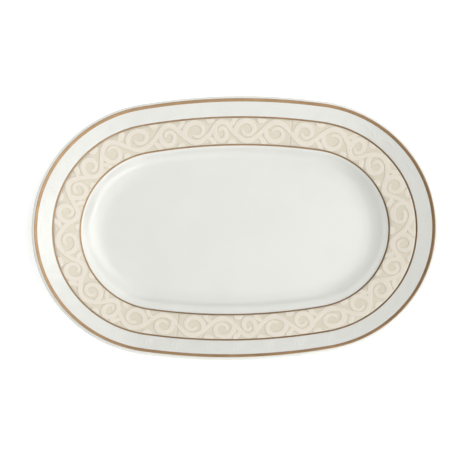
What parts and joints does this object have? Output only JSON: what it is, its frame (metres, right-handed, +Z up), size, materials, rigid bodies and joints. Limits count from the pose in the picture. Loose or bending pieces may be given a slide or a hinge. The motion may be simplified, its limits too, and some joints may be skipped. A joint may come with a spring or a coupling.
{
  "type": "oval serving platter",
  "caption": "Long oval china serving platter: broad sloping rim with gold edge, fine gold lines and an ivory scroll border round a shallow white well on a foot ring.",
  "frame": {"origin": "centre of the plane that the foot ring rests on", "axes": "+X along the length, +Y across the width, +Z up out of the well"},
  "size_m": [0.3524, 0.2364, 0.0245],
  "materials": {
    "glazed_china": "clear glossy glaze over white bone china, bare and matte on the foot's resting edge",
    "burnished_gold": "fired bright gold, softly burnished, with faint brush variation",
    "gold_hairline": "thin fired gold line, a little darker than the edge band",
    "scroll_transfer": "ivory scrolls on a beige ground, fired in under a thin gloss"
  },
  "bodies": {
    "root": {"china_body": "glazed_china", "rim_gilding": "burnished_gold", "border_gold_line": "gold_hairline", "verge_gold_line": "gold_hairline", "scroll_transfer_a": "scroll_transfer", "scroll_transfer_b": "scroll_transfer"}
  },
  "joints": []
}
